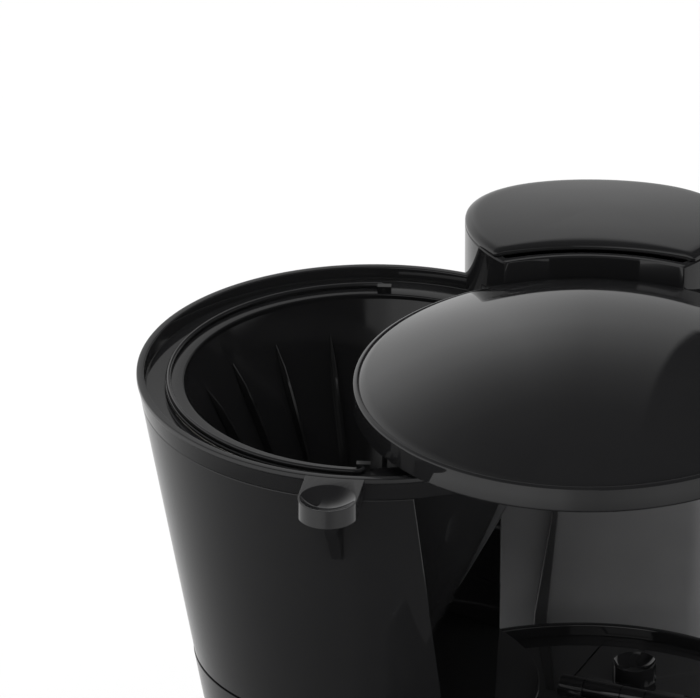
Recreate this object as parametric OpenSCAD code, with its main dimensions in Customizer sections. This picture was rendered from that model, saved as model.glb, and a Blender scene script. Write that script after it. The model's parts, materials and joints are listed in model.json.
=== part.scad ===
// Drip coffee maker: a filter holder that swings out from under a fixed dome,
// a column with the water tank behind it, and a jug on a heated base.

/* [Holder] */
// Outer radius of the holder's rim
rim_r = 75; // [72:1:78]
// Height of the holder from its lower edge to its rim
holder_h = 113; // [105:1:114]
// Angle by which the holder stands open
swing = 52; // [40:1:54]

/* [Head] */
// Height of the dome's lower edge above the table
skirt_z = 285; // [283:1:295]
// Outer radius of the dome
dome_r = 73; // [70:1:74]
// Rise of the dome above its skirt
dome_rise = 17; // [12:1:22]

/* [Column] */
// Radius of the column's round back and of the tank lid
column_r = 42.5; // [42:0.5:46]
// Distance of the column's centre from the brew axis
column_y = 99; // [98:1:104]

/* [Base] */
// Radius of the base around the brew axis
base_r = 80; // [79:1:86]
// Height of the base's deck above the table
base_top = 42; // [40:1:44]

/* [Jug] */
// Outer radius of the jug's collar
collar_r = 77; // [74:1:78]
// Widest outer radius of the jug's glass
glass_r = 68; // [64:1:70]

/* [Hidden] */
$fn = 96;
cut = 1; // overshoot of a cutting solid past the face it cuts

// colours
gloss_black = [0.07, 0.07, 0.08];
soft_black = [0.14, 0.14, 0.15];
graphite = [0.3, 0.3, 0.31];
steel = [0.72, 0.73, 0.75];
alloy = [0.6, 0.61, 0.63];
silicone = [0.75, 0.75, 0.72];
clear = [0.75, 0.82, 0.86, 0.5];

// walls and fits
wall = 2.5;
pin_fit = 0.05;
gap = 0.3;

// holder
rim_z = skirt_z - 1;
ledge_z = rim_z - 5;
ring_low = rim_z - 8;
holder_z = rim_z - holder_h;
seam_z = rim_z - 97;
cone_slope = 0.182;
shell_start = 96;
shell_sweep = 262;
front_cut = -22.3;
front_cut_tilt = 8.9;
front_cut_z = rim_z - 32;
back_cut = [-27.6, 70.6];
ledge_r = 62.6;
flange_r = 66;
basket_r = 62;
basket_low_r = 15;
basket_z = holder_z + 12;
basket_flange_z = ledge_z + 1.6;
rib_count = 18;
rib_turn = -0.2;
bail_turn = 90 + swing;
bail_r = 64.9;
bail_wire = 0.8;
bail_z = basket_flange_z + 0.9;

// holder hinge, on the column's face
hinge_x = -10.5;
hinge_y = 80.6;
knuckle_r = 6;
hinge_pin_r = 3;
knuckle_low = rim_z - 26;
knuckle_top = skirt_z + 0.1;
bracket_low = knuckle_low - 8;
tab_angle = -44.3;
tab_r = 9.3;
tab_out = 13.4;
tab_t = 6.2;

// column and tank
column_front = 93;
corner_front = 13;
column_back = column_y + column_r;
column_top = skirt_z - 0.4;
head_top = skirt_z + 16;
arch_r = 250;
arch_y = 78;
split_y = column_front + 24;
gauge_angle = 169;
lid_hinge_y = column_back + 3.6;
lid_hinge_z = column_top - 0.8;
lid_t = 2;
rear_screw_z = [70, 160, 250];
screw_sink = 1;
tank_right = 22;
tank_low = 62;
tank_top = column_top + 3;

// head
arm_z = skirt_z + 0.4;
arm_t = 2.6;
arm_left = -36;
arm_right = 38;
dome_top = skirt_z + 8 + dome_rise;
dome_ball = (dome_r * dome_r + dome_rise * dome_rise) / (2 * dome_rise);
screw_spots = [[-24.5, 61], [-13.3, 62.5]];
riser_x = 31;
riser_y = 108;
riser_z = arm_z + arm_t + 2.3;
riser_turn = atan2(riser_y, riser_x);

// base
base_low = 3;
base_hw = 58;
base_corner = 38;
plate_r = 62;
plate_z = base_top + 2;
tube_z = plate_z - 9.9;
tube_r = 4.5;
water_ring = 44;
heater_ring = 34;
element_open = acos(riser_x / water_ring);
feet_spots = [[-52, -38], [52, -38], [-42, 118], [42, 118]];
screw_ring = [[-60, 0], [60, 0], [-30, 124], [30, 124]];

// jug
jug_z = plate_z + 0.2;
collar_low = skirt_z - 143;
collar_top = skirt_z - 118;
neck_r = 61;
neck_z = collar_low - 10;
lid_plate_z = collar_top - 6;
barrel_angle = -20;
barrel_off = 31.6;
barrel_r = 3;
barrel_z = lid_plate_z + 5.3;
flap_left = -20;
flap_right = 30;
flap_back = 69;
lid_knuckles = [[-20, -12], [1, 9], [22, 30]];
flap_knuckles = [[-11.7, 0.7], [9.3, 21.7]];
handle_angle = barrel_angle - 90;
handle_reach = 112;
handle_t = 17;

// the standing pose: the holder open, with the whole width centred on the origin
open_dir = atan2(-hinge_y, -hinge_x) - swing;
hinge_reach = norm([hinge_x, hinge_y]);
open_x = hinge_x + hinge_reach * cos(open_dir);
open_y = hinge_y + hinge_reach * sin(open_dir);
handle_front = handle_reach * sin(handle_angle) - handle_t / 2 * abs(cos(handle_angle));
brew_x = -(open_x - rim_r + base_r) / 2;
brew_y = -(handle_front + column_back + 4) / 2;

function cone_r(z) = rim_r - (rim_z - z) * cone_slope;

module on_axis() translate([brew_x, brew_y, 0]) children();

// children drawn in the closed pose, swung open about the hinge
module on_holder()
  on_axis()
    translate([hinge_x, hinge_y, 0]) rotate(-swing) translate([-hinge_x, -hinge_y, 0])
      children();

// children drawn with the flap's hinge along x and the flap towards +y
module on_jug() on_axis() rotate(barrel_angle) children();

module rounded(w, d, r) {
  translate([-w / 2 + r, 0]) square([w - 2 * r, d]);
  translate([-w / 2, r]) square([w, d - 2 * r]);
  for (x = [-w / 2 + r, w / 2 - r])
    for (y = [r, d - r])
      translate([x, y]) circle(r);
}

module head_plan(inset = 0) translate([0, column_y]) circle(column_r - inset);

module column_plan(inset = 0)
  intersection() {
    head_plan(inset);
    translate([0, column_front + inset])
      rounded(2 * (column_r - inset), 100, corner_front - inset);
  }

module base_plan(inset = 0) {
  circle(base_r - inset);
  translate([0, -20 + inset])
    rounded(2 * (base_hw - inset), column_back + 22 - 2 * inset, base_corner - inset);
}

module slab(low, high) translate([0, 0, low]) linear_extrude(high - low) children();

module tube(r, bore, low, high)
  translate([0, 0, low]) difference() {
    cylinder(r = r, h = high - low);
    translate([0, 0, -cut]) cylinder(r = bore, h = high - low + 2 * cut);
  }

module rod(r, low, high) translate([0, 0, low]) cylinder(r = r, h = high - low);

// a horizontal rod along x
module rod_x(r, from, to) translate([from, 0, 0]) rotate([0, 90, 0]) cylinder(r = r, h = to - from);

module pan_head(r, shank, low, high, head) {
  rod(shank, low, high + head / 2);
  rod(r, high, high + head);
}

/* ---- base ---- */
module base_shell()
  color(gloss_black) on_axis() difference() {
    slab(base_low, base_top) base_plan();
    slab(base_low - cut, base_top - wall) base_plan(wall);
    rod(plate_r - 4, base_low, base_top + cut);
    slab(base_top - 2 * wall, base_top + cut) column_plan(4);
    switch_frame() translate([0, -8.2, -11.2]) cube([20, 16.4, 22.4]);
    lens_frame() rod_x(3.05, -10, 10);
    translate([0, column_back, 16]) rotate([90, 0, 0]) translate([0, 0, -5]) cylinder(r = 6, h = 20);
  }

module bottom_cover()
  color(soft_black) on_axis() difference() {
    slab(base_low, base_low + 2) base_plan(wall + gap);
    for (i = [-4:4])
      translate([i * 7 - 1.5, -15, 0]) cube([3, 40, 10]);
    for (p = screw_ring)
      translate(p) rod(1.7, 0, 10);
    for (p = feet_spots)
      translate(p) rod(3, 0, 10);
  }

module rubber_feet()
  color(soft_black) on_axis()
    for (p = feet_spots)
      translate(p) {
        rod(8, 0, base_low);
        rod(3, base_low, base_low + 3);
      }

module bottom_screws()
  color(steel) on_axis()
    for (p = screw_ring)
      translate([p[0], p[1], base_low]) mirror([0, 0, 1]) pan_head(3.4, 1.7, -9, 0, 1.8);

module hot_plate()
  color(soft_black) on_axis() {
    tube(plate_r, plate_r - 8, plate_z - 1.2, plate_z);
    tube(plate_r - 6.8, plate_r - 8, plate_z - 3, plate_z - 1.2);
    rod(plate_r - 8, plate_z - 3, plate_z - 1.6);
  }

module hot_plate_seal()
  color(silicone) on_axis() {
    tube(plate_r + 0.6, plate_r - 5.2, base_top, plate_z - 1.2);
    tube(plate_r - 4, plate_r - 5.2, base_top - 2.5, base_top);
  }

module arc_tube(ring_r, r, z)
  translate([0, 0, z]) rotate_extrude(start = 180 - element_open, angle = 180 + 2 * element_open)
    translate([ring_r, 0]) circle(r);

// two tubes side by side in one bar: the sheathed heater inside, the water outside
module heating_element()
  color(alloy) on_axis() {
    difference() {
      union() {
        arc_tube(water_ring, tube_r, tube_z);
        arc_tube(heater_ring, tube_r, tube_z);
        translate([0, 0, tube_z + 2])
          rotate_extrude(start = 180 - element_open, angle = 180 + 2 * element_open)
            translate([heater_ring - 2, 0]) square([14, plate_z - 5 - tube_z]);
        for (side = [-1, 1])
          element_end(side) rod_x(tube_r - 1, -1, 10);
      }
      arc_tube(water_ring, tube_r - 1.6, tube_z);
      for (side = [-1, 1])
        element_end(side) rod_x(tube_r - 1.8, -1.5, 11);
    }
  }

// at the outer tube's end, x pointing straight back
module element_end(side)
  translate([side * riser_x, water_ring * sin(element_open), tube_z]) rotate(90) children();

module element_clamp()
  color(steel) on_axis() {
    translate([-6, -50, tube_z - tube_r - 1.6]) cube([12, 23, 1.6]);
    for (y = [-52.2, -25])
      translate([0, y, 0]) tube(3.4, 1.6, tube_z - tube_r - 1.6, plate_z - 3);
  }

module thermostat()
  color(steel) on_axis() {
    rod(8, plate_z - 9, plate_z - 3);
    rod(6.4, plate_z - 14, plate_z - 9);
    for (side = [-1, 1])
      translate([side * 4 - 0.4, -2, plate_z - 20]) cube([0.8, 4, 6]);
  }

module thermal_fuse()
  color(silicone) on_axis()
    for (x = [-18, 18])
      translate([x, -8, plate_z - 5]) rotate(90) rod_x(2, 0, 14);

module check_valve()
  color(silicone) on_axis() translate([-riser_x, 70, tube_z]) rotate(90) difference() {
    union() {
      rod_x(5.2, 0, 12);
      rod_x(2.5, -6, 18);
    }
    rod_x(1.4, -7, 19);
  }

module hose_run(x, from_y, to_y)
  translate([x, from_y, tube_z]) rotate(90) difference() {
    rod_x(5, 0, to_y - from_y);
    rod_x(3.55, -cut, to_y - from_y + cut);
  }

// quarter bend from running back to running up, ending at height top
module hose_rise(x, from_y, top, bend = 12) {
  translate([x, from_y, tube_z + bend]) rotate([0, 90, 0])
    rotate_extrude(start = 0, angle = 90) translate([bend, 0]) difference() {
      circle(5);
      circle(3.55);
    }
  translate([x, from_y + bend, 0]) tube(5, 3.55, tube_z + bend, top);
}

module cold_hose()
  color(silicone) on_axis() {
    hose_run(-riser_x, 35, 67);
    hose_run(-riser_x, 85, riser_y - 12);
    hose_rise(-riser_x, riser_y - 12, tank_low - 3.4);
  }

module hot_hose()
  color(silicone) on_axis() {
    hose_run(riser_x, 35, riser_y - 12);
    hose_rise(riser_x, riser_y - 12, 100);
  }

module hose_clips()
  color(steel) on_axis() {
    for (x = [-riser_x, riser_x])
      translate([x, 36, tube_z]) rotate(90) difference() {
        rod_x(5.8, 0, 5);
        rod_x(5, -cut, 5 + cut);
      }
    translate([riser_x, riser_y, 0]) tube(5.8, 5, 92, 97);
    translate([-riser_x, riser_y, 0]) tube(5.8, 5, tank_low - 8.5, tank_low - 4.5);
  }

// the slanting run of the riser, from the column to the spray chamber
module riser_run(r, from, to)
  translate([riser_x, riser_y, riser_z]) rotate(180 + riser_turn) rod_x(r, from, to);

// stiff pipe up the column, then slanting forward over the arm to the spray chamber
module riser_pipe()
  color(alloy) on_axis() {
    reach = norm([riser_x, riser_y]);
    translate([riser_x, riser_y, 0]) tube(3.5, 2.2, 80, riser_z);
    translate([riser_x, riser_y, riser_z]) sphere(3.5);
    difference() {
      riser_run(2.2, 2.6, reach - 22);
      riser_run(1.5, 2, reach - 20);
    }
  }

/* ---- column and tank ---- */
module column_shell()
  color(graphite) on_axis() difference() {
    slab(base_top, column_top) intersection() {
      column_plan();
      translate([-100, 0]) square([200, split_y]);
    }
    slab(base_top - cut, column_top + cut) column_plan(wall);
    gauge_slot(0.1);
  }

module gauge_place() translate([0, column_y, 90]) rotate(gauge_angle) children();

module gauge_slot(grow)
  gauge_place() translate([column_r - wall - cut, -4 - grow, -grow])
    cube([wall + 2 * cut, 8 + 2 * grow, 150 + 2 * grow]);

module level_gauge()
  color(clear) on_axis() gauge_place() {
    translate([column_r - wall, -4, 0]) cube([wall + 0.4, 8, 150]);
    translate([column_r - wall - 0.5, -2, 2]) cube([0.7, 4, 146]);
  }

module rear_cover()
  color(graphite) on_axis() difference() {
    slab(base_top, column_top) difference() {
      intersection() {
        column_plan();
        translate([-100, split_y]) square([200, 100]);
      }
      column_plan(wall);
    }
    for (z = rear_screw_z)
      translate([0, column_back - screw_sink, z]) {
        rotate([90, 0, 0]) translate([0, 0, -cut]) cylinder(r = 1.7, h = 12);
        rotate([-90, 0, 0]) cylinder(r = 3.5, h = 12);
      }
  }

module rear_cover_screws()
  color(steel) on_axis()
    for (z = rear_screw_z)
      translate([0, column_back - screw_sink, z]) rotate([-90, 0, 0]) pan_head(3.2, 1.7, -2.2, 0, 1.6);

module tank_plan(inset = 0)
  intersection() {
    column_plan(wall + 1.2 + inset);
    translate([-100, 0]) square([100 + tank_right - inset, 200]);
  }

module water_tank()
  color(soft_black) on_axis() difference() {
    union() {
      slab(tank_low, tank_top) tank_plan();
      translate([-riser_x, riser_y, 0]) rod(3.4, tank_low - 12, tank_low + 1);
    }
    slab(tank_low + 2, tank_top + cut) tank_plan(1.8);
    translate([-riser_x, riser_y, 0]) rod(2, tank_low - 13, tank_low + 3);
  }

module tank_grommet()
  color(silicone) on_axis() translate([-riser_x, riser_y, 0]) tube(6, 3.4, tank_low - 3, tank_low);

module lid_axis() on_axis() translate([0, lid_hinge_y, lid_hinge_z]) children();

// everything under the long arch that the head's top edge and the lid follow
module under_arch(top)
  translate([-60, arch_y, top - arch_r]) rotate([0, 90, 0]) cylinder(r = arch_r, h = 120);

module head_shell()
  color(gloss_black) {
    on_axis() difference() {
      intersection() {
        slab(column_top, head_top) difference() {
          head_plan();
          circle(dome_r + gap);
        }
        under_arch(head_top - gap);
      }
      slab(column_top - cut, head_top + cut) difference() {
        head_plan(wall);
        circle(dome_r + gap + wall);
      }
      slab(column_top - cut, arm_z + arm_t + gap) translate([arm_left - gap, 0])
        square([arm_right - arm_left + 2 * gap, column_front]);
      riser_run(2.5, 0, 60);
    }
    lid_axis() difference() {
      for (span = [[-16, -9], [9, 16]]) {
        rod_x(3.2, span[0], span[1]);
        translate([span[0], -6, 1]) cube([span[1] - span[0], 6, 2.2]);
      }
      rod_x(1.5, -50, 50);
    }
  }

module tank_hinge_pin() color(steel) lid_axis() rod_x(1.5, -16, 16);

// arched plate with a concave front edge round the dome, hinged by one long barrel behind
module tank_lid()
  color(gloss_black) {
    on_axis() difference() {
      intersection() {
        slab(column_top, head_top + 2 * lid_t) difference() {
          head_plan();
          circle(dome_r + 4.5);
        }
        under_arch(head_top + lid_t);
      }
      under_arch(head_top);
    }
    lid_axis() difference() {
      union() {
        rod_x(3.2, -8.7, 8.7);
        translate([-8.7, 0, 0]) rotate([90, 0, 90]) linear_extrude(17.4)
          polygon([
            [-3.2, 0], [0, 0], [0, 7.8], [-3.4, 10], [-8, 11.2], [-8, 9.9], [-4, 9.4], [-3.2, 8.4]
          ]);
      }
      rod_x(1.5 + pin_fit, -50, 50);
    }
  }

/* ---- head ---- */
module spray_arm()
  color(soft_black) on_axis() difference() {
    union() {
      slab(arm_z, arm_z + arm_t) {
        circle(66);
        translate([arm_left, 0]) square([arm_right - arm_left, column_front + wall]);
      }
      for (p = screw_spots)
        translate(p) rod(3.4, arm_z + arm_t, dome_under(norm(p) + 3.4) - 0.3);
    }
    for (i = [0:11])
      rotate(i * 30) translate([14, 0, 0]) rod(1.5, arm_z - cut, arm_z + arm_t + cut);
    rod(1.5, arm_z - cut, arm_z + arm_t + cut);
    for (p = screw_spots)
      translate(p) rod(1.5, arm_z - cut, dome_top);
    translate([hinge_x, hinge_y, 0]) rod(hinge_pin_r, arm_z - cut, dome_top);
  }

function dome_under(r) = dome_top - dome_ball + sqrt(pow(dome_ball - wall, 2) - r * r);

module spray_chamber()
  color(soft_black) on_axis() difference() {
    union() {
      tube(23, 21, arm_z + arm_t, arm_z + arm_t + 8);
      rod(23, arm_z + arm_t + 7, arm_z + arm_t + 8.6);
    }
    riser_run(2.2, 60, 110);
  }

module dome_cover()
  color(gloss_black) on_axis() difference() {
    intersection() {
      rod(dome_r, skirt_z, dome_top + cut);
      translate([0, 0, dome_top - dome_ball]) sphere(dome_ball, $fn = 360);
    }
    intersection() {
      rod(dome_r - wall, skirt_z - cut, dome_top + cut);
      translate([0, 0, dome_top - dome_ball]) sphere(dome_ball - wall, $fn = 360);
    }
    slab(skirt_z - cut, arm_z + arm_t + gap) translate([arm_left - gap, 0])
      square([arm_right - arm_left + 2 * gap, 100]);
    riser_run(2.5, 20, 110);
    for (p = screw_spots)
      translate(p) {
        rod(1.7, skirt_z, dome_top);
        rod(2.7, dome_under(norm(p)) + 1, dome_top + cut);
      }
  }

module dome_screws()
  color(soft_black) on_axis()
    for (p = screw_spots)
      translate(p) pan_head(2.5, 1.5, arm_z, dome_under(norm(p)) + 1, 0.7);

module hinge_bracket()
  color(soft_black) on_axis() difference() {
    union() {
      translate([hinge_x - 14, column_front - 3, bracket_low]) cube([28, 3, column_top - bracket_low]);
      slab(bracket_low, knuckle_low - gap) {
        translate([hinge_x, hinge_y]) circle(7);
        translate([hinge_x - 7, hinge_y]) square([14, column_front - hinge_y]);
      }
    }
    translate([hinge_x, hinge_y, 0]) rod(hinge_pin_r, bracket_low - cut, skirt_z);
  }

module hinge_pin()
  color(steel) on_axis() translate([hinge_x, hinge_y, 0]) rod(hinge_pin_r, bracket_low, arm_z + arm_t);

// tapered rib on the column's face under the hinge
module hinge_rib()
  color(soft_black) on_axis()
    translate([0, column_front, 0]) rotate([90, 0, 0]) linear_extrude(6)
      polygon([
        [hinge_x - 2, bracket_low], [hinge_x + 0.5, bracket_low], [hinge_x - 1, 200],
        [hinge_x - 4.1, 164], [hinge_x - 5, 140], [hinge_x - 9.5, 140],
        [hinge_x - 8.5, 164], [hinge_x - 3, 200]
      ]);

/* ---- switch, lamp and cord inlet ---- */
module switch_frame() rotate(-60) translate([base_r - 14, 0, 24]) children();
module lens_frame() rotate(-44) translate([base_r - 4, 0, 24]) children();

module switch_housing()
  color(soft_black) on_axis() switch_frame() difference() {
    union() {
      translate([0, -8, -11]) cube([14, 16, 22]);
      translate([14, -9, -12]) cube([1.4, 18, 24]);
    }
    translate([2, -6.3, -9.6]) cube([20, 12.6, 19.2]);
    translate([8, -8, 0]) rotate(90) rod_x(1.5, -1, 18);
  }

module switch_rocker()
  color(gloss_black) on_axis() switch_frame() translate([8, 0, 0]) {
    rotate([0, 8, 0]) rotate([90, 0, 0]) translate([0, 0, -6]) linear_extrude(12)
      polygon([[-3, -4], [2.5, -8], [8, -8], [6.4, 0], [8, 8], [2.5, 8], [-3, 4]]);
    rotate(90) rod_x(1.5 - pin_fit, -7.6, 7.6);
  }

module indicator_lens() color([0.8, 0.2, 0.1]) on_axis() lens_frame() rod_x(3, -4, 5);

module cord_gland()
  color(soft_black) on_axis() translate([0, column_back + 2, 16]) rotate([90, 0, 0]) difference() {
    union() {
      translate([0, 0, -2]) cylinder(r = 8, h = 2);
      cylinder(r = 6, h = 6);
    }
    translate([0, 0, -3]) cylinder(r = 3.6, h = 12);
  }

/* ---- filter holder ---- */
// full ring with a step for the basket and the knuckle of the hinge
module swing_ring()
  color(gloss_black) on_holder() difference() {
    union() {
      rotate_extrude() polygon([
        [cone_r(ring_low), ring_low], [cone_r(rim_z - 2), rim_z - 2], [rim_r, rim_z - 1.6],
        [rim_r, rim_z], [rim_r - 2.4, rim_z], [rim_r - 2.8, ledge_z],
        [ledge_r, ledge_z], [ledge_r, ledge_z - 2], [rim_r - 2.8, ledge_z - 2],
        [rim_r - 2.8, ring_low]
      ]);
      difference() {
        union() {
          translate([hinge_x, hinge_y, 0]) rod(knuckle_r, knuckle_low, knuckle_top);
          rotate(atan2(hinge_y, hinge_x)) translate([rim_r - 2.8, -5, ring_low])
            cube([6, 10, rim_z - ring_low]);
        }
        rod(rim_r - 1.5, 0, rim_z + cut);
      }
    }
    translate([hinge_x, hinge_y, 0]) rod(hinge_pin_r + pin_fit, 0, rim_z + 10);
  }

module cone_wall(low, high, start, sweep, out = 0)
  rotate_extrude(start = start, angle = sweep) polygon([
    [cone_r(low) + out, low], [cone_r(high) + out, high],
    [cone_r(high) + out - 2.4, high], [cone_r(low) + out - 2.4, low]
  ]);

// the two planes that end the holder's wall, beside the column and beside the jug
module end_cuts() {
  rotate(front_cut) translate([0, 0, front_cut_z]) rotate([front_cut_tilt, 0, 0])
    translate([10, 0, -150]) cube([100, 100, 300]);
  translate([back_cut[0], back_cut[1], 0]) rotate(swing) translate([0, -40, 0]) cube([80, 80, 400]);
}

module holder_shell()
  color(gloss_black) on_holder() difference() {
    union() {
      cone_wall(seam_z, ring_low, shell_start, shell_sweep);
      rotate_extrude(start = shell_start, angle = shell_sweep) polygon([
        [cone_r(seam_z) - 2.4, seam_z], [cone_r(seam_z) - 1.2, seam_z],
        [cone_r(seam_z) - 1.6, seam_z - 3], [cone_r(seam_z) - 2.8, seam_z - 3]
      ]);
    }
    end_cuts();
  }

// lower skirt below the parting seam, with the floor that carries the drip stop
module holder_skirt()
  color(gloss_black) on_holder() {
    difference() {
      cone_wall(holder_z, seam_z, shell_start, shell_sweep, 0.25);
      rotate_extrude() translate([cone_r(seam_z) - 6, seam_z - 3.3]) square([5, 5]);
      end_cuts();
    }
    difference() {
      slab(holder_z, holder_z + 2) circle(cone_r(holder_z) - 1.5);
      rod(9, holder_z - cut, holder_z + 3);
      rod(10, holder_z + 1.4, holder_z + 3);
    }
  }

// flat thumb tab with a scooped top and a tapered fin below, standing out from the rim
module thumb_tab()
  color(gloss_black) on_holder() rotate(tab_angle) difference() {
    union() {
      translate([rim_r - 1.5, -tab_r, rim_z - tab_t]) cube([tab_out + 1.5, 2 * tab_r, tab_t]);
      translate([rim_r + tab_out, 0, 0]) rod(tab_r, rim_z - tab_t, rim_z);
      translate([rim_r, 0, rim_z]) rotate([90, 0, 0]) translate([0, 0, -1.8]) linear_extrude(3.6)
        polygon([[-2, 1 - tab_t], [tab_out + 2, 1 - tab_t], [tab_out + 2, -tab_t], [-4.6, -31], [-8, -31]]);
    }
    rod(rim_r, rim_z - 2, rim_z + cut);
    rotate_extrude() polygon([
      [0, holder_z], [cone_r(holder_z), holder_z], [rim_r, rim_z], [0, rim_z]
    ]);
    translate([rim_r + tab_out, 0, rim_z + 11]) sphere(14);
  }

module filter_basket()
  color(soft_black) on_holder() {
    difference() {
      union() {
        rotate_extrude() polygon([
          [0, basket_z], [basket_low_r, basket_z], [basket_r, ledge_z], [basket_r, ledge_z + 0.4],
          [flange_r, ledge_z + 0.4], [flange_r, basket_flange_z], [basket_r - 2, basket_flange_z],
          [basket_r - 2, ledge_z], [basket_low_r - 2, basket_z + 2], [0, basket_z + 2]
        ]);
        rotate(bail_turn) for (side = [0, 180])
          rotate(side) translate([basket_r - 1.5, -2.4, ledge_z + 1]) cube([2.3, 4.8, 3]);
      }
      rod(5, basket_z - cut, basket_z + 3);
      for (i = [0:7])
        rotate(i * 45) translate([9.5, 0, 0]) rod(1.2, basket_z - cut, basket_z + 3);
      rotate(bail_turn) translate([0, 0, bail_z]) rod_x(0.8 + pin_fit, -basket_r - 2, basket_r + 2);
    }
    intersection() {
      for (i = [0:rib_count - 1])
        rotate(rib_turn + i * 360 / rib_count) translate([11, -0.7, basket_z + 1])
          cube([60, 1.4, rim_z - 14 - basket_z - 1]);
      rotate_extrude() polygon([
        [basket_low_r - 4.5, basket_z + 1], [basket_low_r - 1.5, basket_z + 1],
        [basket_r - 1, ledge_z], [basket_r - 4.5, ledge_z]
      ]);
    }
  }

module basket_seal()
  color(silicone) on_holder() tube(flange_r - 0.4, basket_r + 1, ledge_z, ledge_z + 0.4);

// half hoop that lies on the basket's flange and folds up by its two ends
module bail_handle()
  color(gloss_black) on_holder() rotate(bail_turn) translate([0, 0, bail_z]) {
    rotate_extrude(start = 0, angle = 180) translate([bail_r, 0]) circle(bail_wire, $fn = 24);
    for (side = [0, 180])
      rotate(side) rod_x(bail_wire, basket_r - 2, bail_r);
  }

/* ---- drip stop ---- */
module drip_stop_guide()
  color(soft_black) on_holder() {
    tube(10, 8, holder_z + 2.4, basket_z);
    tube(10, 4.6, holder_z + 1.4, holder_z + 2.4);
  }

module drip_stop_valve()
  color(silicone) on_holder() {
    rod(3, holder_z - 2.4, basket_z + 4);
    rod(4.4, holder_z + 3.6, holder_z + 4.6);
    rod(7.6, basket_z + 2.1, basket_z + 4);
  }

module drip_stop_spring()
  color(steel) on_holder()
    for (i = [0:2])
      translate([0, 0, holder_z + 6.2 + i * 2]) rotate_extrude() translate([5.6, 0]) circle(0.5);

/* ---- jug ---- */
module jug_glass()
  color(clear) on_jug() rotate_extrude() polygon(concat(
    [[0, jug_z], [glass_r - 8, jug_z]],
    [for (t = [0:0.1:1]) [glass_side(t), jug_z + 3 + t * (neck_z - jug_z - 3)]],
    [[neck_r, collar_low + 8], [neck_r - 2.2, collar_low + 8]],
    [for (t = [1:-0.1:0]) [glass_side(t) - 2.2, jug_z + 3 + t * (neck_z - jug_z - 3)]],
    [[0, jug_z + 2.4]]
  ));

// glass radius along its height: a full belly drawn in to the neck
function glass_side(t) = glass_r - 4 * pow(1 - 2 * t, 2) - (glass_r - neck_r - 4) * pow(t, 4);

module jug_band()
  color(steel) on_jug() tube(neck_r + 2, neck_r, collar_low - 8, collar_low);

module jug_collar()
  color(gloss_black) on_jug() rotate_extrude() polygon([
    [neck_r + 0.6, collar_low], [neck_r + 4, collar_low], [collar_r - 4, collar_low + 6],
    [collar_r, collar_top - 8], [collar_r, collar_top - 0.8], [collar_r - 0.8, collar_top],
    [collar_r - 2, collar_top], [collar_r - 2, lid_plate_z], [neck_r - 4, lid_plate_z],
    [neck_r - 4, lid_plate_z - 2], [collar_r - 8, lid_plate_z - 2], [neck_r + 0.6, collar_low + 9]
  ]);

module flap_plan(grow)
  intersection() {
    translate([flap_left - grow, barrel_off + 4 - grow])
      square([flap_right - flap_left + 2 * grow, flap_back - barrel_off]);
    circle(collar_r - 5 + grow);
  }

// lid plate, with the opening for the flap at the back and the coffee inlet in the middle
module jug_lid()
  color(gloss_black) on_jug() difference() {
    union() {
      slab(lid_plate_z, lid_plate_z + 2) difference() {
        circle(collar_r - 2.4);
        flap_plan(0.6);
        circle(7);
      }
      tube(10, 7, lid_plate_z + 2, collar_top + 0.8);
      slab(lid_plate_z + 2, lid_plate_z + 4) intersection() {
        circle(collar_r - 12);
        translate([-28, -24]) square([60, barrel_off + 20]);
        difference() {
          circle(100);
          circle(12);
        }
      }
      for (span = lid_knuckles)
        translate([span[0], barrel_off, barrel_z]) {
          rod_x(barrel_r, 0, span[1] - span[0]);
          translate([0, -4, -5.3]) cube([span[1] - span[0], 6, 5.3]);
        }
    }
    translate([0, barrel_off, barrel_z]) rod_x(1.2, -50, 50);
  }

module flap_pin() color(steel) on_jug() translate([0, barrel_off, barrel_z]) rod_x(1.2, -20, 30);

// pour flap with a dished finger ring
module pour_flap()
  color(gloss_black) on_jug() {
    slab(lid_plate_z + 0.2, lid_plate_z + 2) flap_plan(0);
    difference() {
      for (span = flap_knuckles)
        translate([span[0], barrel_off, barrel_z]) {
          rod_x(barrel_r, 0, span[1] - span[0]);
          translate([0, 0, -3]) cube([span[1] - span[0], 7, 3]);
          translate([0, 4.4, -4.5]) cube([span[1] - span[0], 3, 4.5]);
        }
      translate([0, barrel_off, barrel_z]) rod_x(1.2 + pin_fit, -50, 50);
    }
    translate([-2, barrel_off + 17.5, 0]) difference() {
      rod(7, lid_plate_z + 2, collar_top + 2);
      translate([0, 0, collar_top + 6]) sphere(8);
    }
  }

module handle_plane()
  on_axis() rotate(handle_angle) rotate([90, 0, 0]) translate([0, 0, -handle_t / 2]) linear_extrude(handle_t)
    children();

// closed grip: in from the collar at the top, down, and back to the neck band's height below
module jug_handle()
  color(gloss_black) difference() {
    handle_plane() difference() {
      union() {
        translate([collar_r, 70]) square([handle_reach - collar_r - 10, collar_top - 72]);
        translate([handle_reach - 20, 80]) square([20, collar_top - 92]);
        translate([handle_reach - 10, 80]) circle(10);
        translate([handle_reach - 10, collar_top - 12]) circle(10);
        translate([glass_r + 0.4, 70]) square([12, 16]);
      }
      translate([collar_r + 0.2, 86]) square([handle_reach - collar_r - 12, collar_top - 104]);
    }
    on_axis() rod(collar_r, collar_low, collar_top + cut);
    grip_screw();
  }

module grip_screw() on_axis() rotate(handle_angle) translate([handle_reach, 0, collar_top - 12]) rod_x(3, -0.4, 0.8);

module handle_screw()
  color(steel) grip_screw();

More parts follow.
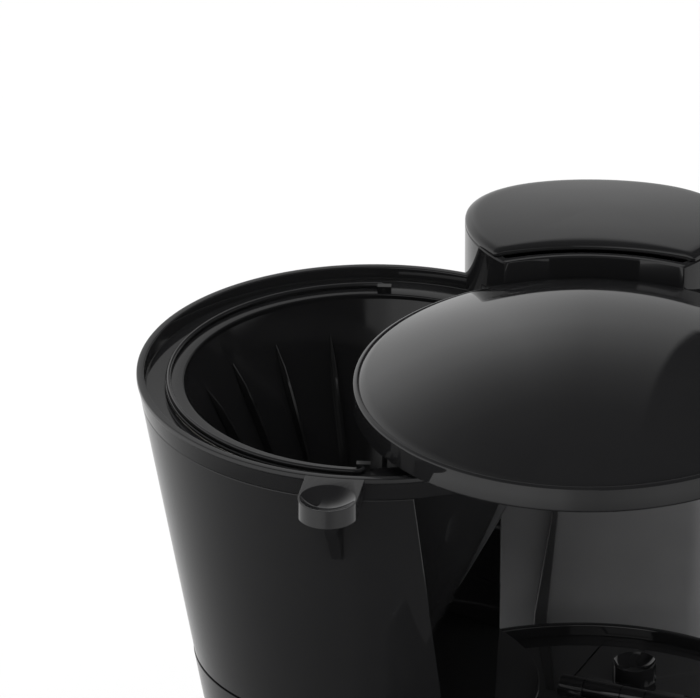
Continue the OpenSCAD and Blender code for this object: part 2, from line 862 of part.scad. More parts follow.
base_shell();
bottom_cover();
rubber_feet();
bottom_screws();
hot_plate();
hot_plate_seal();
heating_element();
element_clamp();
thermostat();
thermal_fuse();
check_valve();
cold_hose();
hot_hose();
hose_clips();
riser_pipe();
column_shell();
rear_cover();
rear_cover_screws();
water_tank();
tank_grommet();
level_gauge();
head_shell();
tank_hinge_pin();
tank_lid();
spray_arm();
spray_chamber();
dome_cover();
dome_screws();
hinge_bracket();
hinge_pin();
hinge_rib();
switch_housing();
switch_rocker();
indicator_lens();
cord_gland();
swing_ring();
holder_shell();
holder_skirt();
thumb_tab();
filter_basket();
basket_seal();
bail_handle();
drip_stop_valve();
drip_stop_spring();
drip_stop_guide();
jug_glass();
jug_band();
jug_handle();
handle_screw();
jug_collar();
jug_lid();
flap_pin();
pour_flap();
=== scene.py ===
# Drip coffee maker in glossy black plastic, its filter holder swung out from under the dome.
# The CAD model is the frame. The shells that show are rebuilt smooth, and the rest gets softened edges.
import json
from math import acos, asin, cos, degrees, pi, radians, sin, sqrt, tan
import bmesh
import bpy
from mathutils import Matrix, Vector


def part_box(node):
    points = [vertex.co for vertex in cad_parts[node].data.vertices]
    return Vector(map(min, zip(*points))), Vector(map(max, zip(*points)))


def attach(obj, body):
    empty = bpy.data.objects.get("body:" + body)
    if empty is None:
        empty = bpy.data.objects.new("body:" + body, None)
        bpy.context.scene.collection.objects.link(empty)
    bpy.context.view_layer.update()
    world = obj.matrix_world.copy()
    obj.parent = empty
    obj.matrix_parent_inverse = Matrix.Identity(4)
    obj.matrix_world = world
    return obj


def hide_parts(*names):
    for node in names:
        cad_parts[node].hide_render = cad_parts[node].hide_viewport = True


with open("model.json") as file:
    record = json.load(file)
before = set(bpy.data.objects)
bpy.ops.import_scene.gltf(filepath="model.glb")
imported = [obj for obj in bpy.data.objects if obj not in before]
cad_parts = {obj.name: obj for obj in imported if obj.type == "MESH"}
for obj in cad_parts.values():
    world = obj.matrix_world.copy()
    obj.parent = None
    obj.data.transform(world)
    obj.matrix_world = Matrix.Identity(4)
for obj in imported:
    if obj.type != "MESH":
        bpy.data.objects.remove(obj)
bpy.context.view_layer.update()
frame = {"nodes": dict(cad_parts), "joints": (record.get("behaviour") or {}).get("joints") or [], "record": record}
MM = 0.001

# ---------------------------------------------------------------- places, from the frame


def low(node):
    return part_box(node)[0]


def high(node):
    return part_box(node)[1]


def middle(node):
    return (low(node) + high(node)) / 2


def joint(name):
    return next(j for j in frame["joints"] if j["name"] == name)


BREW = middle("dome_cover")                                   # brew axis of the machine
DOME_R = (high("dome_cover").x - low("dome_cover").x) / 2
SKIRT_Z = low("dome_cover").z
DOME_TOP = high("dome_cover").z
DOME_EDGE_Z = SKIRT_Z + 8 * MM                                # top of the dome's upright skirt
HOLDER = middle("basket_seal")                                # axis of the open holder
RIM_Z = high("thumb_tab").z
RIM_R = HOLDER.x - low("swing_ring").x
LEDGE_Z = low("basket_seal").z
RING_LOW = RIM_Z - 8 * MM
HOLDER_Z = low("holder_skirt").z
SEAM_Z = high("holder_skirt").z
CONE_SLOPE = 0.182
SWING = -joint("holder_swing")["range_deg"][0]
HINGE = middle("hinge_pin")
TANK_R = (high("tank_lid").x - low("tank_lid").x) / 2         # round head over the tank
TANK = Vector((middle("tank_lid").x, high("rear_cover").y - TANK_R, 0))
HEAD_Z = low("head_shell").z
ARCH_R = 250 * MM
ARCH_Y = BREW.y + 78 * MM
ARCH_Z = high("head_shell").z                                 # crest of the head's top edge
COLLAR_R = (high("jug_collar").x - low("jug_collar").x) / 2
LID_HINGE = Vector((TANK.x, middle("tank_hinge_pin").y, middle("tank_hinge_pin").z))
LID_LIFT = 0.3 * MM                                           # the lid rests just above the head's wall
BARREL_R = 3.2 * MM                                           # of the lid's hinge
SHELL_WALL = 2.5 * MM                                         # dome and head
WALL = 2.4 * MM                                               # holder
BOX_FACES = [(3, 2, 1, 0), (4, 5, 6, 7), (0, 1, 5, 4), (1, 2, 6, 5), (2, 3, 7, 6), (3, 0, 4, 7)]

# ---------------------------------------------------------------- materials


def link(tree, a, b):
    tree.links.new(a, b)


def blank(name):
    mat = bpy.data.materials.new(name)
    mat.use_nodes = True
    return mat, mat.node_tree, mat.node_tree.nodes["Principled BSDF"]


def noise(tree, scale, detail=2.0, stretch=(1, 1, 1)):
    """Noise in the object's own metres, so that a scale of 1000 is a feature of about 1 mm."""
    coords = tree.nodes.new("ShaderNodeTexCoord")
    mapping = tree.nodes.new("ShaderNodeMapping")
    mapping.inputs["Scale"].default_value = stretch
    tex = tree.nodes.new("ShaderNodeTexNoise")
    tex.inputs["Scale"].default_value = scale
    tex.inputs["Detail"].default_value = detail
    link(tree, coords.outputs["Object"], mapping.inputs["Vector"])
    link(tree, mapping.outputs["Vector"], tex.inputs["Vector"])
    return tex.outputs["Fac"]


def spread(tree, value, low_out, high_out, low_in=0.3, high_in=0.7):
    node = tree.nodes.new("ShaderNodeMapRange")
    node.inputs["From Min"].default_value = low_in
    node.inputs["From Max"].default_value = high_in
    node.inputs["To Min"].default_value = low_out
    node.inputs["To Max"].default_value = high_out
    link(tree, value, node.inputs["Value"])
    return node.outputs["Result"]


def bump(tree, shader, height, strength, distance):
    node = tree.nodes.new("ShaderNodeBump")
    node.inputs["Strength"].default_value = strength
    node.inputs["Distance"].default_value = distance
    link(tree, height, node.inputs["Height"])
    link(tree, node.outputs["Normal"], shader.inputs["Normal"])


def tint(tree, shader, value, dark, light):
    mix = tree.nodes.new("ShaderNodeMix")
    mix.data_type = "RGBA"
    mix.inputs[6].default_value = (*dark, 1)
    mix.inputs[7].default_value = (*light, 1)
    link(tree, value, mix.inputs[0])
    link(tree, mix.outputs[2], shader.inputs["Base Color"])


def gloss_plastic(name, dark, light, rough=(0.03, 0.07), peel=0.02):
    """Moulded gloss plastic: a faint long ripple from the mould, fine orange peel and wiped patches."""
    mat, tree, shader = blank(name)
    tint(tree, shader, noise(tree, 60, 4), dark, light)
    link(tree, spread(tree, noise(tree, 45, 5), *rough), shader.inputs["Roughness"])
    bump(tree, shader, noise(tree, 420, 3), peel, 0.15 * MM)
    shader.inputs["IOR"].default_value = 1.5
    return mat


def satin_plastic(name, dark, light, rough=(0.32, 0.46), grain=0.25):
    """Spark-eroded satin plastic with a fine even grain."""
    mat, tree, shader = blank(name)
    tint(tree, shader, noise(tree, 90, 3), dark, light)
    link(tree, spread(tree, noise(tree, 200, 4), *rough), shader.inputs["Roughness"])
    bump(tree, shader, noise(tree, 2600, 2), grain, 0.05 * MM)
    return mat


def metal(name, dark, light, rough, stretch, grain):
    mat, tree, shader = blank(name)
    shader.inputs["Metallic"].default_value = 1.0
    lines = noise(tree, 700, 4, stretch)
    tint(tree, shader, lines, dark, light)
    link(tree, spread(tree, lines, *rough), shader.inputs["Roughness"])
    bump(tree, shader, lines, grain, 0.03 * MM)
    return mat


def rubber(name, dark, light, rough=(0.55, 0.75)):
    mat, tree, shader = blank(name)
    tint(tree, shader, noise(tree, 120, 5), dark, light)
    link(tree, spread(tree, noise(tree, 300, 3), *rough), shader.inputs["Roughness"])
    bump(tree, shader, noise(tree, 1500, 3), 0.3, 0.06 * MM)
    return mat


def clear(name, dark, light, ior, rough, body=1.0):
    mat, tree, shader = blank(name)
    tint(tree, shader, noise(tree, 25, 2), dark, light)
    link(tree, spread(tree, noise(tree, 40, 3), *rough), shader.inputs["Roughness"])
    bump(tree, shader, noise(tree, 35, 2), 0.05, 0.3 * MM)
    shader.inputs["Transmission Weight"].default_value = body
    shader.inputs["IOR"].default_value = ior
    return mat


GLOSS = gloss_plastic("gloss_black", (0.011, 0.011, 0.0115), (0.0135, 0.0135, 0.014))
SMOKED = gloss_plastic("smoked_black", (0.007, 0.007, 0.0072), (0.0095, 0.0095, 0.01), (0.08, 0.16))
SATIN = satin_plastic("satin_black", (0.018, 0.018, 0.019), (0.026, 0.026, 0.027))
MATERIALS = {
    "gloss_black_plastic": GLOSS,
    "soft_black_plastic": SATIN,
    "smoked_black_plastic": SMOKED,
    # column's grey satin plastic: base colour raised above its own tone as painted reflection, standing in for the
    # soft light its front reflects
    "graphite_plastic": satin_plastic(
        "graphite", (0.118, 0.118, 0.12), (0.138, 0.138, 0.14), (0.3, 0.42), 0.2),
    "steel": metal("steel", (0.55, 0.56, 0.58), (0.7, 0.71, 0.72), (0.18, 0.34), (1, 1, 0.05), 0.12),
    "alloy": metal("alloy", (0.6, 0.61, 0.62), (0.74, 0.75, 0.76), (0.3, 0.48), (1, 1, 1), 0.2),
    "silicone": rubber("silicone", (0.62, 0.61, 0.57), (0.72, 0.71, 0.67)),
    "black_rubber": rubber("black_rubber", (0.018, 0.018, 0.018), (0.03, 0.03, 0.03)),
    "plate_coating": satin_plastic(
        "plate_coating", (0.02, 0.02, 0.021), (0.032, 0.032, 0.033), (0.25, 0.4), 0.4),
    "clear_glass": clear("clear_glass", (0.93, 0.97, 0.965), (0.97, 0.99, 0.985), 1.5, (0.0, 0.015)),
    "clear_plastic": clear("clear_plastic", (0.78, 0.83, 0.86), (0.84, 0.88, 0.9), 1.49, (0.05, 0.12), 0.85),
    "lamp_red": clear("lamp_red", (0.5, 0.02, 0.012), (0.62, 0.035, 0.02), 1.49, (0.1, 0.2), 0.5),
}
SLOT_OF = {part["node"]: part["material_slot"] for part in frame["record"]["subparts"]}
BODY_OF = {node: body for body, nodes in frame["record"]["behaviour"]["bodies"].items() for node in nodes}

for node, thing in frame["nodes"].items():
    thing.data.materials.clear()
    thing.data.materials.append(MATERIALS[SLOT_OF[node]])

# ---------------------------------------------------------------- making pieces


def smooth(mesh, angle=32):
    for face in mesh.polygons:
        face.use_smooth = True
    mesh.set_sharp_from_angle(angle=radians(angle))


def settle(name, mesh, node, material=None, edge=0.0, angle=32):
    """Puts a mesh in place of a CAD node: material, rounded edges, body and slot."""
    obj = bpy.data.objects.new(name, mesh)
    bpy.context.scene.collection.objects.link(obj)
    mesh.materials.clear()
    mesh.materials.append(material or MATERIALS[SLOT_OF[node]])
    if edge:
        bevel = obj.modifiers.new("rounded", "BEVEL")
        bevel.width = edge
        bevel.segments = 2
        bevel.limit_method = "ANGLE"
        bevel.angle_limit = radians(angle)
        bevel.use_clamp_overlap = True
        bevel.harden_normals = True
    smooth(mesh, angle)
    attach(obj, BODY_OF[node])
    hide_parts(node)
    return obj


def mesh_of(name, verts, faces):
    mesh = bpy.data.meshes.new(name)
    mesh.from_pydata(verts, [], faces)
    work = bmesh.new()
    work.from_mesh(mesh)
    bmesh.ops.remove_doubles(work, verts=work.verts, dist=1e-7)
    bmesh.ops.recalc_face_normals(work, faces=work.faces)
    work.to_mesh(mesh)
    work.free()
    return mesh


def arc(cx, cz, r, start, end, steps):
    return [(cx + r * cos(radians(start + (end - start) * i / steps)),
             cz + r * sin(radians(start + (end - start) * i / steps))) for i in range(steps + 1)]


def rounded(points, radius, steps=4):
    """A closed outline with every corner rounded by up to that radius."""
    out = []
    count = len(points)
    for i in range(count):
        p = Vector(points[i])
        a = Vector(points[i - 1]) - p
        b = Vector(points[(i + 1) % count]) - p
        half = a.angle(b) / 2
        reach = min(radius / tan(half) if half > 0.02 else 0, 0.45 * a.length, 0.45 * b.length)
        if reach < 1e-6 or half > 1.45:
            out.append(tuple(p))
            continue
        start = p + a.normalized() * reach
        end = p + b.normalized() * reach
        for k in range(steps + 1):
            t = k / steps
            out.append(tuple((1 - t) ** 2 * start + 2 * t * (1 - t) * p + t ** 2 * end))
    return out


def turned(profile, centre, steps=256, start=0.0, sweep=360.0):
    """Verts and faces of a closed outline turned round an upright axis."""
    full = sweep >= 360
    rows = steps if full else steps + 1
    verts = []
    for i in range(rows):
        a = radians(start + sweep * i / steps)
        verts += [(centre.x + r * cos(a), centre.y + r * sin(a), z) for r, z in profile]
    n = len(profile)
    faces = []
    for i in range(steps):
        j = (i + 1) % rows
        for k in range(n):
            m = (k + 1) % n
            if profile[k][0] < 1e-9 and profile[m][0] < 1e-9:
                continue
            faces.append((i * n + k, j * n + k, j * n + m, i * n + m))
    if not full:
        faces.append(tuple(range(n)))
        faces.append(tuple(range(steps * n, steps * n + n))[::-1])
    return verts, faces


def together(*parts):
    verts, faces = [], []
    for v, f in parts:
        base = len(verts)
        verts += v
        faces += [tuple(i + base for i in face) for face in f]
    return verts, faces


def softened(node, edge, angle=32):
    """The CAD node's own shape with rounded edges."""
    mesh = frame["nodes"][node].data.copy()
    work = bmesh.new()
    work.from_mesh(mesh)
    bmesh.ops.remove_doubles(work, verts=work.verts, dist=2e-6)
    bmesh.ops.dissolve_limit(work, angle_limit=radians(0.4), verts=work.verts, edges=work.edges)
    work.to_mesh(mesh)
    work.free()
    return settle(node + "_soft", mesh, node, edge=edge, angle=angle)


# ---------------------------------------------------------------- dome
def dome():
    rise = DOME_TOP - DOME_EDGE_Z
    ball = (DOME_R ** 2 + rise ** 2) / (2 * rise)
    tilt = degrees(asin(DOME_R / ball))
    crown = arc(0, DOME_TOP - ball, ball, 90, 90 - tilt, 48)
    under = arc(0, DOME_TOP - ball, ball - SHELL_WALL, 90 - tilt * 0.965, 90, 40)
    foot = [(DOME_R, SKIRT_Z), (DOME_R - SHELL_WALL, SKIRT_Z)]
    edge = rounded([crown[-2], crown[-1], *foot, under[0]], 0.9 * MM, 5)
    profile = crown[:-2] + edge + under[1:]
    verts, faces = turned(profile, BREW, 320)
    mesh = mesh_of("dome_shell", verts, faces)
    obj = settle("dome_shell", mesh, "dome_cover", angle=50)
    cutter = bpy.data.meshes.new("spots")
    work = bmesh.new()
    low_xy, high_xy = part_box("dome_screws")
    head = 2.5 * MM
    hole = 2.7 * MM
    for x, y in ((low_xy.x + head, low_xy.y + head), (high_xy.x - head, high_xy.y - head)):
        place = Matrix.Translation((x, y, DOME_EDGE_Z + 11 * MM))
        bmesh.ops.create_cone(work, cap_ends=True, segments=48, radius1=hole, radius2=hole, depth=20 * MM,
                              matrix=place)
    work.to_mesh(cutter)
    work.free()
    return apply_cut(obj, cutter)


def apply_cut(obj, cutter_mesh):
    """Cuts the cutter's shape out of the piece's mesh."""
    cutter = bpy.data.objects.new("cutter", cutter_mesh)
    bpy.context.scene.collection.objects.link(cutter)
    cut = obj.modifiers.new("cut", "BOOLEAN")
    cut.object = cutter
    cut.operation = "DIFFERENCE"
    cut.solver = "EXACT"
    bpy.context.view_layer.update()
    done = bpy.data.meshes.new_from_object(obj.evaluated_get(bpy.context.evaluated_depsgraph_get()))
    obj.modifiers.clear()
    obj.data = done
    smooth(done, 50)
    bpy.data.objects.remove(cutter)
    return obj


# ---------------------------------------------------------------- head over the tank, and its lid
def arch(y, lift=0.0):
    return ARCH_Z + lift - ARCH_R + sqrt(ARCH_R ** 2 - (y - ARCH_Y) ** 2)


def plan_edge(angle, tank_r, front_r):
    """The plan's edge in a direction from a hub: a round back, and a front hollowed round the dome."""
    hub = Vector((TANK.x, TANK.y + 9 * MM))                   # behind the hollow
    d = Vector((cos(angle), sin(angle)))
    to_tank = hub - TANK.xy
    b = to_tank.dot(d)
    reach = -b + sqrt(b * b - to_tank.length_squared + tank_r ** 2)
    to_brew = hub - BREW.xy
    b = to_brew.dot(d)
    inside = b * b - to_brew.length_squared + front_r ** 2
    if inside > 0 and -b - sqrt(inside) > 0:
        reach = min(reach, -b - sqrt(inside))
    return hub + d * reach, reach, hub, d


def capped(tank_r, front_r, top, bottom, steps=360):
    """A closed plate over that plan. Top and underside are functions of place and edge distance."""
    shares = [0, 0.25, 0.5, 0.65, 0.78, 0.86, 0.91, 0.94, 0.96, 0.975, 0.985, 0.992, 0.997, 1]
    verts, faces = [], []
    for i in range(steps):
        _, reach, hub, d = plan_edge(2 * pi * i / steps, tank_r, front_r)
        for share in shares:
            p = hub + d * reach * share
            verts.append((p.x, p.y, top(p, reach * (1 - share))))
        for share in reversed(shares):
            p = hub + d * reach * share
            verts.append((p.x, p.y, bottom(p, reach * (1 - share))))
    n = 2 * len(shares)
    for i in range(steps):
        j = (i + 1) % steps
        for k in range(n - 1):
            faces.append((i * n + k, j * n + k, j * n + k + 1, i * n + k + 1))
    return verts, faces


def barrel(start, end, step):
    """Part of the hinge barrel's outline, in y and z from the hinge's axis."""
    return [(BARREL_R * cos(radians(a)), BARREL_R * sin(radians(a))) for a in range(start, end + 1, step)]


def along_x(outline, start, end):
    """Verts and faces of an outline round the lid's hinge, drawn out along it."""
    n = len(outline)
    verts = [(LID_HINGE.x + x, LID_HINGE.y + y, LID_HINGE.z + z) for x in (start, end) for y, z in outline]
    sides = [(k, (k + 1) % n, (k + 1) % n + n, k + n) for k in range(n)]
    return verts, sides + [tuple(range(n))[::-1], tuple(range(n, 2 * n))]


def tank_lid():
    thick = 2.3 * MM
    roll = 3.5 * MM

    def top(p, inward):
        fall = 0.0
        if inward < roll:
            fall = thick * 0.72 * (1 - sqrt(1 - (1 - inward / roll) ** 2))
        return arch(p.y, LID_LIFT + thick) - fall

    def bottom(p, inward):
        return arch(p.y, LID_LIFT)

    plate = capped(TANK_R, DOME_R + 4.5 * MM, top, bottom)
    arm = barrel(-180, 0, 15) + [(y * MM, z * MM) for y, z in (
        (2.6, 2.2), (0.9, 4.2), (0.2, 7.4), (-0.6, 8.6), (-3.4, 10), (-8, 11.2), (-8, 9.9), (-4, 9.4),
        (-3.2, 8.4))]
    mesh = mesh_of("tank_lid_plate", *together(plate, along_x(arm, -8.7 * MM, 8.7 * MM)))
    return settle("tank_lid_plate", mesh, "tank_lid", angle=40)


def head():
    """Upright wall round the tank's mouth, hollowed at the front to follow the dome."""
    front = DOME_R + 0.3 * MM
    arm_left, arm_right, arm_back, arm_over = -36.3 * MM, 38.3 * MM, 93 * MM, 3.3 * MM
    lip = 0.5 * MM
    steps = 360
    verts, faces = [], []
    for i in range(steps):
        angle = 2 * pi * i / steps
        outer = plan_edge(angle, TANK_R, front)[0]
        inner = plan_edge(angle, TANK_R - SHELL_WALL, front + SHELL_WALL)[0]
        up_out = arch(outer.y)
        up_in = arch(inner.y)
        side = (inner - outer).normalized() * lip
        over_arm = outer.y < BREW.y + arm_back and arm_left < outer.x - BREW.x < arm_right
        foot = SKIRT_Z + arm_over if over_arm else HEAD_Z
        verts += [(outer.x, outer.y, foot), (outer.x, outer.y, up_out - lip),
                  (outer.x + side.x, outer.y + side.y, up_out), (inner.x, inner.y, up_in),
                  (inner.x, inner.y, foot)]
    for i in range(steps):
        j = (i + 1) % steps
        for k in range(5):
            m = (k + 1) % 5
            faces.append((i * 5 + k, j * 5 + k, j * 5 + m, i * 5 + m))
    ear = barrel(-150, 90, 12) + [(-6.5 * MM, 3.2 * MM), (-6.5 * MM, 0.9 * MM), (-3.4 * MM, 0.9 * MM)]
    ears = [along_x(ear, start * MM, end * MM) for start, end in ((-16, -9), (9, 16))]
    mesh = mesh_of("tank_head_wall", *together((verts, faces), *ears))
    return settle("tank_head_wall", mesh, "head_shell", angle=40)


# ---------------------------------------------------------------- filter holder
FRONT_CUT = radians(-22.3 - SWING)          # plane beside the jug, as it stands with the holder open
FRONT_TILT = tan(radians(8.9))
FRONT_CUT_Z = RIM_Z - 32 * MM
BACK_CUT = 38.6 * MM                        # from the holder's axis to the upright plane beside the column


def cone_r(z):
    return RIM_R - (RIM_Z - z) * CONE_SLOPE


def cone_piece(profile, steps=220):
    """A conical wall between the two planes that end it. Each profile point is a radius and a height."""
    n = len(profile)
    verts, faces = [], []
    for i in range(steps + 1):
        for r, z in profile:
            start = acos(BACK_CUT / r)
            end = 2 * pi + FRONT_CUT + asin(-FRONT_TILT * (z - FRONT_CUT_Z) / r)
            a = start + (end - start) * i / steps
            verts.append((HOLDER.x + r * cos(a), HOLDER.y + r * sin(a), z))
    for i in range(steps):
        for k in range(n):
            m = (k + 1) % n
            faces.append((i * n + k, (i + 1) * n + k, (i + 1) * n + m, i * n + m))
    faces.append(tuple(range(n))[::-1])
    faces.append(tuple(range(steps * n, steps * n + n)))
    return verts, faces


def wall_profile(bottom, top, out=0.0, rows=10):
    heights = [bottom + (top - bottom) * k / rows for k in range(rows + 1)]
    outer = [(cone_r(z) + out, z) for z in heights]
    inner = [(cone_r(z) + out - WALL, z) for z in reversed(heights)]
    return outer + inner


def holder_wall():
    mesh = mesh_of("holder_wall", *cone_piece(wall_profile(SEAM_Z + 0.25 * MM, RING_LOW, rows=16)))
    return settle("holder_wall", mesh, "holder_shell", edge=0.45 * MM, angle=40)


def holder_foot():
    band = cone_piece(wall_profile(HOLDER_Z, SEAM_Z - 0.25 * MM, 0.25 * MM, 4))
    floor_r = cone_r(HOLDER_Z) - 1.4 * MM
    hole_r, under, over = 9 * MM, HOLDER_Z + 0.1 * MM, HOLDER_Z + 2 * MM
    outline = rounded([(hole_r, under), (floor_r, under), (floor_r, over), (hole_r, over)], 0.4 * MM)
    floor = turned(outline, HOLDER, 128)
    mesh = mesh_of("holder_foot", *together(band, floor))
    return settle("holder_foot", mesh, "holder_skirt", edge=0.35 * MM, angle=40)


def holder_ring():
    t = MM
    profile = rounded([
        (cone_r(RING_LOW), RING_LOW), (cone_r(RIM_Z - 2 * t), RIM_Z - 2 * t), (RIM_R, RIM_Z - 1.5 * t),
        (RIM_R, RIM_Z), (RIM_R - 2.4 * t, RIM_Z), (RIM_R - 2.8 * t, LEDGE_Z),
        (RIM_R - 12.4 * t, LEDGE_Z), (RIM_R - 12.4 * t, LEDGE_Z - 2 * t), (RIM_R - 2.8 * t, LEDGE_Z - 2 * t),
        (RIM_R - 2.8 * t, RING_LOW)], 0.45 * t, 4)
    ring = turned(profile, HOLDER, 320)
    bottom = RIM_Z - 26 * t
    top = high("swing_ring").z
    knuckle = turned(rounded([(3.05 * t, bottom), (6 * t, bottom), (6 * t, top), (3.05 * t, top)], 0.5 * t),
                     HINGE, 64)
    aim = (HINGE - HOLDER).xy.normalized()
    side = Vector((-aim.y, aim.x))
    web = []
    for z in (RING_LOW, RIM_Z - 0.4 * t):
        for u, v in ((RIM_R - 1.2 * t, -5 * t), (RIM_R + 3.2 * t, -5 * t), (RIM_R + 3.2 * t, 5 * t),
                     (RIM_R - 1.2 * t, 5 * t)):
            p = HOLDER.xy + aim * u + side * v
            web.append((p.x, p.y, z))
    mesh = mesh_of("holder_ring", *together(ring, knuckle, (web, BOX_FACES)))
    return settle("holder_ring", mesh, "swing_ring", angle=45)


def basket():
    t = MM
    low_r, top_r = 15 * t, 62 * t
    base = low("filter_basket").z
    flange = high("basket_seal").z
    profile = rounded([
        (5 * t, base), (low_r, base), (top_r, LEDGE_Z), (top_r, flange), (66 * t, flange),
        (66 * t, flange + 1.2 * t), (top_r - 2 * t, flange + 1.2 * t), (top_r - 2 * t, LEDGE_Z),
        (low_r - 2 * t, base + 2 * t), (5 * t, base + 2 * t)], 0.5 * t, 4)
    shell = turned(profile, HOLDER, 288)
    slope = (top_r - low_r) / (LEDGE_Z - base)
    parts = [shell]
    rib_top = RIM_Z - 14 * t
    count = 18
    for i in range(count):
        a = radians(-0.2 - SWING + i * 360 / count)
        aim = Vector((cos(a), sin(a)))
        side = Vector((-sin(a), cos(a)))
        verts = []
        rows = 14
        for k in range(rows + 1):
            z = base + 2 * t + (rib_top - base - 2 * t) * k / rows
            root = low_r - 1.6 * t + slope * (z - base - 2 * t)
            share = max(0.0, (k - rows + 3) / 3)
            out = 3.0 * t * sqrt(max(0.0, 1 - share ** 2)) + 0.3 * t
            half = 0.75 * t * sqrt(max(0.04, 1 - share ** 2))
            for r, w in ((root, -half), (root - out + 0.4 * t, -half * 0.8), (root - out, 0),
                         (root - out + 0.4 * t, half * 0.8), (root, half)):
                p = HOLDER.xy + aim * r + side * w
                verts.append((p.x, p.y, z))
        faces = [(k * 5 + m, k * 5 + m + 1, k * 5 + m + 6, k * 5 + m + 5)
                 for k in range(rows) for m in range(4)]
        faces += [(k * 5 + 4, k * 5, k * 5 + 5, k * 5 + 9) for k in range(rows)]
        faces += [(4, 3, 2, 1, 0), tuple(range(rows * 5, rows * 5 + 5))]
        parts.append((verts, faces))
    for side in (-1, 1):
        verts = []
        for z in (flange + 0.8 * t, flange + 3.6 * t):
            for u, v in ((60.5, -2.2), (62.8, -2.2), (62.8, 2.2), (60.5, 2.2)):
                verts.append((HOLDER.x + v * t, HOLDER.y + side * u * t, z))
        parts.append((verts, BOX_FACES))
    mesh = mesh_of("basket_shell", *together(*parts))
    obj = settle("basket_shell", mesh, "filter_basket", angle=45)
    mesh.materials.append(GLOSS)
    for face in mesh.polygons:
        outward = (Vector(face.center) - HOLDER).xy.dot(face.normal.xy)
        if outward > 0 and face.center.z < LEDGE_Z:
            face.material_index = 1
    return obj


def tube_along(points, radius, sides=14):
    """Verts and faces of a round wire through the points, closed at its ends."""
    verts, faces = [], []
    count = len(points)
    up = Vector((0, 0, 1))
    for i, p in enumerate(points):
        ahead = (points[min(i + 1, count - 1)] - points[max(i - 1, 0)]).normalized()
        across = ahead.cross(up).normalized()
        over = across.cross(ahead)
        for k in range(sides):
            a = 2 * pi * k / sides
            verts.append(tuple(p + across * radius * cos(a) + over * radius * sin(a)))
    for i in range(count - 1):
        for k in range(sides):
            m = (k + 1) % sides
            faces.append((i * sides + k, i * sides + m, (i + 1) * sides + m, (i + 1) * sides + k))
    faces.append(tuple(range(sides))[::-1])
    faces.append(tuple(range((count - 1) * sides, count * sides)))
    return verts, faces


def bail():
    box_low, box_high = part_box("bail_handle")
    z = (box_low.z + box_high.z) / 2
    wire = (box_high.z - box_low.z) / 2
    reach = (box_high.y - box_low.y) / 2 - wire
    end, bend = 60.3 * MM, reach - 1.5 * MM
    points = [Vector((HOLDER.x, HOLDER.y + end, z)), Vector((HOLDER.x, HOLDER.y + bend, z))]
    points += [Vector((HOLDER.x + reach * cos(radians(a)), HOLDER.y + reach * sin(radians(a)), z))
               for a in range(91, 270, 2)]
    points += [Vector((HOLDER.x, HOLDER.y - bend, z)), Vector((HOLDER.x, HOLDER.y - end, z))]
    mesh = mesh_of("bail_wire", *tube_along(points, wire))
    return settle("bail_wire", mesh, "bail_handle", angle=60)


# ---------------------------------------------------------------- jug
def collar():
    t = MM
    centre = middle("jug_collar")
    top, bottom = high("jug_collar").z, low("jug_collar").z
    plate = top - 6 * t
    neck = 61 * t
    profile = rounded([
        (neck + 0.6 * t, bottom), (neck + 4 * t, bottom), (COLLAR_R - 4 * t, bottom + 6 * t),
        (COLLAR_R, top - 8 * t), (COLLAR_R, top), (COLLAR_R - 2 * t, top), (COLLAR_R - 2 * t, plate),
        (neck - 4 * t, plate),
        (neck - 4 * t, plate - 2 * t), (COLLAR_R - 8 * t, plate - 2 * t), (neck + 0.6 * t, bottom + 9 * t)],
        0.8 * t, 4)
    mesh = mesh_of("jug_collar_ring", *turned(profile, centre, 288))
    return settle("jug_collar_ring", mesh, "jug_collar", angle=45)


dome()
tank_lid()
head()
holder_wall()
holder_foot()
holder_ring()
basket()
bail()
collar()
for node, edge in (
        ("thumb_tab", 0.5), ("jug_glass", 0), ("jug_band", 0.3), ("base_shell", 1.2), ("column_shell", 0.6),
        ("rear_cover", 0.6), ("jug_handle", 1.6), ("jug_lid", 0.4), ("pour_flap", 0.35),
        ("hinge_bracket", 0.4), ("hinge_rib", 0.5), ("switch_housing", 0.4), ("switch_rocker", 0.4),
        ("cord_gland", 0.5)):
    softened(node, edge * MM)

# ---------------------------------------------------------------- floor, light and camera


def floor():
    mesh = bpy.data.meshes.new("floor")
    half = 12.0
    corners = [(-half, -half, 0), (half, -half, 0), (half, half, 0), (-half, half, 0)]
    mesh.from_pydata(corners, [], [(0, 1, 2, 3)])
    mat, tree, shader = blank("pale_floor")
    tint(tree, shader, noise(tree, 3, 3), (0.9, 0.9, 0.9), (0.93, 0.93, 0.93))
    shader.inputs["Roughness"].default_value = 0.9
    shader.inputs["Specular IOR Level"].default_value = 0.0
    mesh.materials.append(mat)
    obj = bpy.data.objects.new("floor", mesh)
    bpy.context.scene.collection.objects.link(obj)
    obj.visible_glossy = False


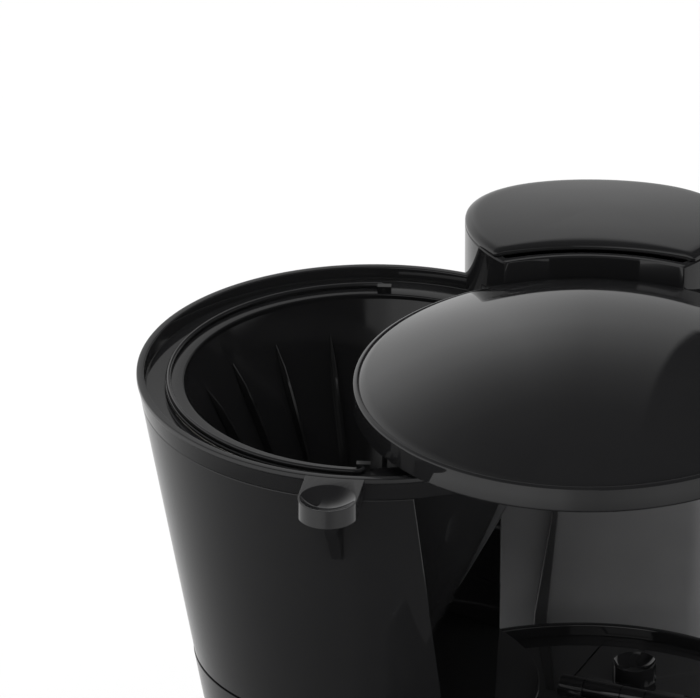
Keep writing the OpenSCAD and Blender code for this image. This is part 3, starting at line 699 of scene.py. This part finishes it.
def studio():
    """White all round for soft light. Gloss sees a bright horizon that fades overhead and underfoot."""
    world = bpy.data.worlds.new("studio")
    bpy.context.scene.world = world
    world.use_nodes = True
    tree = world.node_tree
    tree.nodes.clear()
    coords = tree.nodes.new("ShaderNodeTexCoord")
    split = tree.nodes.new("ShaderNodeSeparateXYZ")
    link(tree, coords.outputs["Generated"], split.inputs[0])

    def ramp(value, stops):
        node = tree.nodes.new("ShaderNodeValToRGB")
        points = node.color_ramp.elements
        while len(points) < len(stops):
            points.new(0.5)
        for point, (place, level) in zip(points, stops):
            point.position = place
            point.color = (level, level, level, 1)
        link(tree, value, node.inputs[0])
        return node.outputs[0]

    def times(a, b):
        node = tree.nodes.new("ShaderNodeMath")
        node.operation = "MULTIPLY"
        link(tree, a, node.inputs[0])
        if isinstance(b, float):
            node.inputs[1].default_value = b
        else:
            link(tree, b, node.inputs[1])
        return node.outputs[0]

    def height(degrees_up):
        return (sin(radians(degrees_up)) + 1) / 2

    raised = spread(tree, split.outputs["Z"], 0, 1, -1, 1)
    by_height = ramp(raised, [(0, 0.0), (height(-60), 0.05), (height(-48), 0.14), (height(-38), 0.5),
                              (height(-27), 0.95), (height(0), 1.0), (height(20), 1.0), (height(30), 0.8),
                              (height(45), 0.3), (height(53), 0.12), (height(69), 0.0)])
    by_side = ramp(spread(tree, split.outputs["X"], 0, 1, -1, 1),
                   [(0.29, 1.0), (0.36, 0.875), (0.425, 0.83), (0.485, 0.54), (0.565, 0.46), (0.8, 0.7)])
    card_side = spread(tree, split.outputs["X"], 0, 1, 0.128, 0.14)
    card_up = spread(tree, split.outputs["Z"], 0, 1, 0.26, 0.3)
    card = spread(tree, times(card_side, card_up), 1, 0, 0, 1)
    seen_in_gloss = times(times(by_height, by_side), times(card, 1.2))

    path = tree.nodes.new("ShaderNodeLightPath")
    soft = tree.nodes.new("ShaderNodeMath")
    soft.operation = "MAXIMUM"
    link(tree, path.outputs["Is Camera Ray"], soft.inputs[0])
    link(tree, path.outputs["Is Diffuse Ray"], soft.inputs[1])
    gloss = tree.nodes.new("ShaderNodeBackground")
    link(tree, seen_in_gloss, gloss.inputs["Strength"])
    white = tree.nodes.new("ShaderNodeBackground")
    white.inputs["Strength"].default_value = 1.05
    mix = tree.nodes.new("ShaderNodeMixShader")
    out = tree.nodes.new("ShaderNodeOutputWorld")
    link(tree, soft.outputs[0], mix.inputs[0])
    link(tree, gloss.outputs[0], mix.inputs[1])
    link(tree, white.outputs[0], mix.inputs[2])
    link(tree, mix.outputs[0], out.inputs[0])

    lamp = bpy.data.lights.new("overhead", "AREA")
    lamp.size = 2.4
    lamp.energy = 26
    obj = bpy.data.objects.new("overhead", lamp)
    obj.location = (BREW.x, BREW.y, 2.6)
    obj.visible_glossy = False
    bpy.context.scene.collection.objects.link(obj)
    bpy.context.scene.view_settings.view_transform = "Standard"


def camera():
    """Far off with a long lens, from the front and 27 degrees up; the machine runs out of the picture."""
    azimuth, elevation, distance = radians(-3.165), radians(26.907), 4.0
    forward = Vector((sin(azimuth) * cos(elevation), cos(azimuth) * cos(elevation), -sin(elevation)))
    right = Vector((cos(azimuth), -sin(azimuth), 0))
    up = right.cross(forward)
    target = Vector((BREW.x, BREW.y, SKIRT_Z)) - right * 73.81 * MM + up * 17.64 * MM
    data = bpy.data.cameras.new("camera")
    data.sensor_width = 36
    data.sensor_fit = "HORIZONTAL"
    data.lens = 656.3
    data.clip_start = 0.1
    data.clip_end = 100
    obj = bpy.data.objects.new("camera", data)
    bpy.context.scene.collection.objects.link(obj)
    turn = Matrix((right, up, -forward)).transposed().to_4x4()
    obj.matrix_world = Matrix.Translation(target - forward * distance) @ turn
    bpy.context.scene.camera = obj


floor()
studio()
camera()
